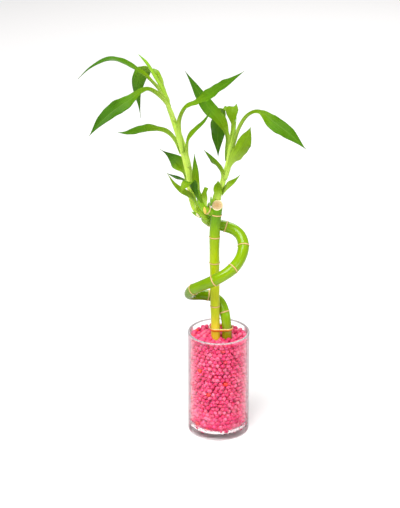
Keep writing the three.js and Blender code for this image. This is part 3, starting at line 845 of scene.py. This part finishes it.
def grow_leaf(name, stem, node, heading, width, neck, blade, roll, route, belly=0.45, blunt=0,
              tail=1.25, wave=1.5, sway=0.15, ages_and_shade=(0.05, 0.45, 0.8, 0.85), top_skew=0.0):
    """A leaf: its foot wraps its stem, its neck is a channel and its blade a shallow cupped V with
    wavy edges. Millimetres and degrees; shares are of its whole length.

    heading is the side of its stem that it grows on: 0 is right, 90 back and 180 left. neck is
    the channel's width, and blade the share where the blade begins. roll turns the leaf about its
    own rib, from foot to point. belly is where the blade is widest, tail how thin its point is
    drawn out, wave how far its edges ripple, sway how much its two halves differ, and ages its
    greens from foot to point. blunt is the width of a blunt top, and top_skew how far the right
    end of that stands above the left."""
    curve = smooth_route(route)
    length = curve[1][-1]
    rows = max(16, int(length / LEAF_STEP))
    distances = [length * i / rows for i in range(rows + 1)]
    turn = math.radians(heading)
    frames = stations(curve, distances, (math.sin(turn), -math.cos(turn), 0))
    stem_points = stem[0][::8]
    swing = random.Random(name)
    start = swing.uniform(0, math.tau)

    def width_at(t):
        beyond = max(0.0, (t - blade) / (1 - blade))
        lance = math.sin(math.pi * beyond ** (math.log(0.5) / math.log(belly)))
        if beyond > belly:
            lance = max(lance, 0.0) ** tail
        held = 0.0
        if t < SHEATH:
            held = SHEATH_WIDTH + (neck - SHEATH_WIDTH) * (t / SHEATH) ** 0.8
            held = max(SHEATH_LEAST, held * min(1.0, 0.2 + t / 0.07))
        return max(neck * (1 - beyond), width * lance, BLADE_TIP * (1 - 0.6 * t), held, blunt)

    def place(row, share):
        t = row / rows
        point, way, side, up = frames[row]
        angle = math.radians(-along(roll, t))
        out = Matrix.Rotation(angle, 3, way) @ side
        face = Matrix.Rotation(angle, 3, way) @ up
        wide = width_at(t)
        right = share > 0.5
        half = 1 + sway * math.sin(start + t * 7 + 2.4 * right) * min(1.0, t * 3)
        off = (share - 0.5) * wide * half

        # Its cross-section is an arc: tight round the stem, then a channel, then the open blade.
        unwrapped = min(1.0, t / SHEATH)
        opening = max(SHEATH, blade - 0.1)
        open_share = ease(min(1.0, max(0.0, (t - opening) / OPENING)))
        stand_off = min((point - other).length for other in stem_points)
        wrap_turn = min(math.radians(WRAP_DEGREES), wide / max(stand_off, STEM_CLOSE))
        neck_turn = math.radians(NECK_DEGREES)
        closed_turn = wrap_turn + (neck_turn - wrap_turn) * unwrapped
        turn_here = closed_turn + (math.radians(CUP_DEGREES) - closed_turn) * open_share
        bend_radius = wide / turn_here
        theta = off / bend_radius
        folded = math.radians(NECK_FOLD) * unwrapped * (1 - open_share) * min(1.0, blade * 12)
        reach = bend_radius * math.sin(theta) * math.cos(folded)
        lift = bend_radius * (1 - math.cos(theta))
        lift += abs(off) * (FOLD * open_share + math.sin(folded))

        # Its edges ripple, each half in its own time.
        ripple = wave * math.sin(start + t * length / LONG_RIPPLE + 2 * right)
        ripple += 0.5 * wave * math.sin(2 * start + t * length / SHORT_RIPPLE + 4 * right)
        lift += ripple * (abs(off) / WIDE_HALF) ** 2 * open_share
        skew = way * (top_skew * (share - 0.5) * t ** 8)
        return point + out * reach + face * lift + skew

    form = lay_sheet(LEAF_COLUMNS, rows, place)
    age_and_shade_layer = form.verts.layers.float.new("age_and_shade")
    uv = form.loops.layers.uv.active
    for vertex in form.verts:
        beyond_sheath = max(0.0, vertex.link_loops[0][uv].uv.y - PALE_SHARE) / (1 - PALE_SHARE)
        vertex[age_and_shade_layer] = along(ages_and_shade, beyond_sheath)
    piece = finish_piece(name, form, [leaf_green])
    thick = piece.modifiers.new("blade thickness", "SOLIDIFY")
    thick.thickness = LEAF_THICKNESS * MM
    thick.offset = 0
    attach(piece, "root")
    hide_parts(node)


STEM_A = grow_stem("left_shoot_stem", [
    (-13.5, 6, 252), (-17.5, 4, 256), (-24, 3, 261.5), (-28, 1, 272), (-30.5, 0, 285),
    (-31, -1, 297), (-34, -2, 314), (-38, -3, 331), (-44.5, -4, 353.5), (-52, -5, 375.5),
    (-59, -6, 397.5), (-66.5, -7, 412), (-75, -8, 427), (-83.5, -10, 437),
], [4.2, 4.2, 4.2, 4, 3.8, 3.9, 4.1, 4, 3.4, 2.5, 1.7, 1.8, 1.6, 0.4], (
    (0, "#9CC824"), (0.12, "#BCDC3C"), (0.3, "#C8E456"), (0.45, "#C6E45A"), (0.75, "#A8CC3C"),
    (1, "#7FB418"),
), "stem_a")

LEAVES_A = {
    "long_arching": dict(
        ages_and_shade=(0.05, 0.5, 0.8, 0.85),
        wave=0.6, heading=195, width=8.5, neck=6.5, blade=0.1, roll=[5, 20, 15],
        route=[(-54.5, -6, 382.5), (-60, -8.5, 392), (-67, -12, 403.5), (-83, -18, 421),
               (-101, -24, 433.5), (-113.5, -28, 437), (-131.5, -34, 430), (-144, -38, 419.5)]),
    "drooping": dict(
        tail=1.9, wave=1.6,
        heading=150, width=16, neck=7, blade=0.15, belly=0.4, roll=[0, -20, -60, -60],
        route=[(-53.5, -2.5, 378), (-58, 1, 389), (-64, 7, 403.5), (-72.5, 13, 412.5),
               (-82.5, 20, 407), (-87, 25, 390), (-85, 28, 371.5), (-83.5, 30, 355.5)]),
    "broad_low": dict(
        tail=1.3, sway=0.2, heading=205, width=16, neck=8, blade=0.4, roll=[0, 30, 60, 60],
        route=[(-48.5, -9, 366), (-54.5, -13, 381.5), (-63.5, -16, 393.5), (-74, -18.5, 401),
               (-83, -22, 400), (-92, -27, 394.5), (-110.5, -36, 383.5), (-124.5, -43, 372),
               (-133.5, -48, 362)]),
    "level": dict(
        ages_and_shade=(0.05, 0.4, 0.65, 0.75), wave=0.8,
        belly=0.55, heading=155, width=10.5, neck=8, blade=0.25, roll=[5, 35, 30],
        route=[(-41, 1, 326), (-48, 2.5, 339), (-57.5, 6, 348.5), (-71, 13, 349),
               (-86.5, 21, 344), (-99.5, 28, 339.5), (-108, 32, 338.5)]),
    "right": dict(
        ages_and_shade=(0.05, 0.4, 0.65, 0.75),
        heading=335, width=12, neck=8.5, blade=0.38, roll=[0, -25, -55, -55],
        route=[(-37.5, -8.5, 331), (-40, -10.5, 351), (-40, -12, 368), (-33.5, -15, 382),
               (-20.5, -19, 390.5), (-6.5, -24, 401.5), (10, -29, 414), (24, -33, 426)]),
    "thin_right": dict(
        ages_and_shade=(0.05, 0.35, 0.55, 0.6),
        heading=340, width=6.5, neck=8.5, blade=0.1, roll=[0, -40, -80],
        route=[(-31, -7, 314), (-33, -9.5, 333), (-31.5, -12.5, 348), (-25, -15, 358),
               (-16.5, -18, 368), (-8.5, -21, 382)]),
    "short_broad": dict(
        tail=1.9,
        heading=145, width=16, neck=5, blade=0.1, belly=0.35, roll=[20, 60],
        route=[(-33.5, 2, 293), (-38, 6.5, 303.5), (-44, 11, 312.5), (-52.5, 17, 317.5),
               (-63.5, 23, 323)]),
    "short_dark": dict(
        ages_and_shade=(0.3, 0.8, 0.9, 0.95), heading=155, width=5.5, neck=4, blade=0, roll=[0, 20],
        route=[(-32.5, 5, 288), (-37.5, 8, 293), (-44, 12, 293.5), (-56, 18, 297.5)]),
    "lowest": dict(
        ages_and_shade=(0.05, 0.3, 0.35, 0.35), sway=0.25,
        belly=0.35, heading=200, width=8, neck=5, blade=0, roll=[0, 40, 100],
        route=[(-26.5, -4, 267), (-26.5, -7, 274), (-29.5, -9.5, 279.5), (-34.5, -11, 284.5),
               (-41, -13.5, 291), (-48, -16, 299), (-55, -19.5, 311)]),
}
for leaf_name, sizes in LEAVES_A.items():
    grow_leaf("left_leaf_" + leaf_name, STEM_A, node="leaf_a_" + leaf_name, **sizes)


# Middle shoot: a short side shoot that broke out of the straight cane at a node on its left. Its
# stem is greener than the left shoot's, and three leaves sit close together on it.
STEM_B = grow_stem("middle_shoot_stem", [
    (-8, -4, 261), (-15.5, -8, 266.5), (-20, -10, 274), (-22, -11, 282.5), (-23.5, -12, 290),
], [4.2, 4, 3, 2.4, 1.8], (
    (0, "#7CA80C"), (0.3, "#86B410"), (0.6, "#7CAC08"), (1, "#6C9C04"),
), "stem_b")


# Bud scales: small pointed papery scales at the feet of the shoots, where they broke out of the
# canes. Some are still green, and the oldest have dried pale yellow.
BUD_SCALES = {
    "yellow": [
        ((-15, -10.5, 262.5), (-16.3, -13, 271), 3.2, "#F4CC5C"),
        ((-31.5, -3.5, 282), (-33.6, -4, 287.5), 1.8, "#F0D070"),
    ],
    "pale": [((-21.5, -1.5, 254.5), (-24.6, -5.5, 261), 3, "#F2E8B8")],
    "green": [
        ((-20, 0.5, 253.5), (-30.2, -1, 261), 3.2, "#86B41C"),
        ((-11.5, -5, 264), (-10.8, -3.5, 273), 3.8, "#88B050"),
        ((-8.6, -2.5, 268), (-9, -2.2, 279.5), 2.4, "#78AC18"),
    ],
}
SCALE_ROWS = 14
SCALE_FLAT = 0.6
for scale_kind, scales in BUD_SCALES.items():
    for number, (foot, tip, width, colour) in enumerate(scales, 1):
        foot, tip = Vector(foot), Vector(tip)
        along_scale = (tip - foot).normalized()
        front = along_scale.cross(Vector((1, 0, 0.01))).normalized()
        across = front.cross(along_scale)

        def scale_place(row, share):
            t = row / SCALE_ROWS
            swell = math.sin(math.pi * min(1, 0.18 + 0.82 * t) ** 1.1) ** 0.8
            turn = share * math.tau
            flat = across * math.cos(turn) + front * math.sin(turn) * SCALE_FLAT
            return foot + (tip - foot) * t + flat * (width / 2 * max(swell, 0.03))

        form = lay_sheet(12, SCALE_ROWS, scale_place, round_and_closed=True)
        cap_ends(form)
        # Papery leaf tissue: matt, with faint lines from its foot to its tip.
        papery, tree, shader = new_material(
            f"{scale_kind} bud scale {number}", {"Roughness": 0.6},
        )
        dry = mottle(tree, linear(colour), stretched_noise(tree, (16, 3), 3), 0.7, 1.25)
        tree.links.new(dry, shader.inputs["Base Color"])
        scale = finish_piece(f"bud_scale_{scale_kind}_{number}", form, [papery])
        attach(scale, "root")


# Scar of the middle shoot's first leaf: a thin ring of dry tan tissue round the shoot's foot, left
# where that leaf dropped off, and one with the stem.
SCAR_MIDDLE = Vector((-12.6, -6.6, 264.8))
SCAR_AXIS = Vector((-7.5, -4, 5.5)).normalized()
SCAR_SIDE = SCAR_AXIS.cross(Vector((0, 0, 1))).normalized()
SCAR_TOP = SCAR_SIDE.cross(SCAR_AXIS)
SCAR_RADIUS = 4.3
SCAR_HALF = 0.75
SCAR_STEPS = 32


def scar_place(row, share):
    """A ring 1.5 mm thick round the shoot's foot."""
    turn, round_turn = row / SCAR_STEPS * math.tau, share * math.tau
    out = SCAR_SIDE * math.cos(turn) + SCAR_TOP * math.sin(turn)
    reach = SCAR_RADIUS + SCAR_HALF * math.cos(round_turn)
    return SCAR_MIDDLE + out * reach + SCAR_AXIS * SCAR_HALF * math.sin(round_turn)


form = lay_sheet(8, SCAR_STEPS, scar_place, round_and_closed=True)
bmesh.ops.recalc_face_normals(form, faces=form.faces)
# Dry corky tissue: matt and tan, with grains 0.7 mm apart.
scar_tissue, tree, shader = new_material("dry scar tissue", {"Roughness": 0.75})
place = add(tree, "ShaderNodeTexCoord").outputs["Object"]
fibres = add(tree, "ShaderNodeTexNoise", {"Vector": place, "Scale": 1400, "Detail": 3})
tans = add(
    tree, "ShaderNodeValToRGB", {"Fac": fibres.outputs["Fac"]},
    stops=((0, "#B08440"), (1, "#E6CC92")),
)
tree.links.new(tans.outputs["Color"], shader.inputs["Base Color"])
scar = finish_piece("middle_shoot_scar", form, [scar_tissue])
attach(scar, "root")


# Leaves of the middle shoot: a folded one that hangs over to the left, an upright pointed one, and
# a blunt one that is still rolled. They are living blades like the left shoot's.
LEAVES_B = {
    # The folded leaf's lower part is dark as painted shade, under its fold; its end bent over is
    # pale for the underside it shows.
    "folded": dict(
        ages_and_shade=(0.5, 0.8, 0.85, 0.35, 0.3),
        belly=0.62, heading=235, width=14, neck=5, blade=0, roll=[0, 0, 40],
        route=[(-20.5, -12.5, 275), (-24.5, -13.5, 285), (-28.5, -14, 294), (-31.5, -15, 299.5),
               (-34.5, -18.5, 299.5), (-38, -20.5, 297), (-40, -21, 291)]),
    "upright": dict(
        ages_and_shade=(0.05, 0.35, 0.55, 0.6),
        heading=90, width=8, neck=4.5, blade=0, roll=[0, 10],
        route=[(-22, -7, 279), (-23.5, -7, 290), (-25, -7.5, 302), (-26, -8, 315),
               (-26.5, -8.5, 329)]),
    "blunt": dict(
        ages_and_shade=(0.05, 0.25, 0.4, 0.4),
        heading=20, width=7, neck=6, blade=0, roll=[-50, -60], blunt=4.5,
        route=[(-16, -9.5, 271.5), (-16, -10, 279), (-15.5, -10.5, 286), (-14, -10.5, 292)]),
}
for leaf_name, sizes in LEAVES_B.items():
    grow_leaf("middle_leaf_" + leaf_name, STEM_B, node="leaf_b_" + leaf_name, **sizes)


# Right shoot: from the top node of the straight cane, behind the sawn face. A stem with its
# young spear and eight leaves, the largest of them arching over to the right.
STEM_C = grow_stem("right_shoot_stem", [
    (-4.5, 2, 262), (-4, 6.5, 270), (-1.5, 8, 280), (2.5, 9, 287.5), (5.5, 9, 298.5),
    (9, 9, 310), (11.5, 10, 326.5), (13, 9.5, 336), (15, 7, 347), (17.5, 5, 364.5),
], [4, 4, 3.6, 3.2, 2.9, 3.1, 2.9, 2, 1.4, 0.4], (
    (0, "#88B414"), (0.15, "#A8D034"), (0.3, "#D6F06C"), (0.55, "#D2EC68"), (0.8, "#A8CC3C"),
    (1, "#7FB418"),
), "stem_c")
LEAVES_C = {
    "broad_left": dict(
        wave=1.4,
        heading=150, width=14, neck=7, blade=0.2, roll=[20, 45, 45],
        route=[(7.5, 12, 314), (7, 15, 328), (6.5, 17.5, 342), (0, 20.5, 356),
               (-12, 25, 369.5), (-25, 32, 388.5), (-36.5, 38, 405)]),
    "drooping": dict(
        tail=1.6, sway=0.02,
        heading=95, width=17, neck=6, blade=0.3, belly=0.5, roll=[0, -20, -85, -85],
        route=[(12.5, 12.5, 331), (14, 20.5, 345), (11, 29.5, 360), (3.5, 35, 364),
               (0, 39, 352.5), (-1.5, 42, 333), (-1, 44, 305.5)]),
    "funnel": dict(
        ages_and_shade=(0.05, 0.25, 0.4, 0.4), top_skew=6,
        sway=0.02, heading=80, width=13, neck=6, blade=0.1, belly=0.8, roll=[0, 0],
        route=[(13, 11, 333), (14, 12, 341), (14, 13, 351), (13.5, 14, 361), (13.5, 17, 369),
               (16.5, 22, 372)]),
    "long_arching": dict(
        ages_and_shade=(0.05, 0.3, 0.65, 0.7), tail=1.4, wave=1.3,
        heading=335, width=15.5, neck=6.5, blade=0.48, roll=[0, -20, -50, -50],
        route=[(12.5, 5.5, 319), (17, 3, 337.5), (22, 0, 354.5), (30.5, -4, 369),
               (41.5, -9, 374.5), (54, -16, 367.5), (72, -25, 356), (89, -33, 342)]),
    "broad_right": dict(
        ages_and_shade=(0.05, 0.25, 0.4, 0.4),
        heading=315, width=17, neck=6, blade=0.05, belly=0.6, roll=[0, 45, 50],
        route=[(7, 6, 294), (12, 2, 311.5), (18, -3, 325.5), (24.5, -7, 338), (29, -10, 349),
               (32, -12, 359.5)]),
    "short_left": dict(
        ages_and_shade=(0.05, 0.35, 0.55, 0.6),
        heading=215, width=9, neck=5, blade=0.1, roll=[0, -20, -50],
        route=[(1, 5, 286), (2, 4, 297), (0.5, 2, 307.5), (-7, -2, 319), (-16.5, -7, 332.5)]),
    "short_right": dict(
        ages_and_shade=(0.05, 0.25, 0.4, 0.4),
        heading=330, width=9, neck=8, blade=0, belly=0.3, roll=[-40, -65],
        route=[(3, 7, 277), (6, 5.5, 283), (9.5, 3, 288.5), (15.5, -1, 295), (22, -5, 304.5)]),
    "low_sheath": dict(
        ages_and_shade=(0.1, 0.3, 0.45, 0.4),
        heading=260, width=10, neck=7, blade=0, roll=[0, 0],
        route=[(-2.5, 2.5, 272.5), (-2, 2.5, 279), (-1.5, 2, 287), (-1.5, 0, 296)]),
}
for leaf_name, sizes in LEAVES_C.items():
    grow_leaf("right_leaf_" + leaf_name, STEM_C, node="leaf_c_" + leaf_name, **sizes)
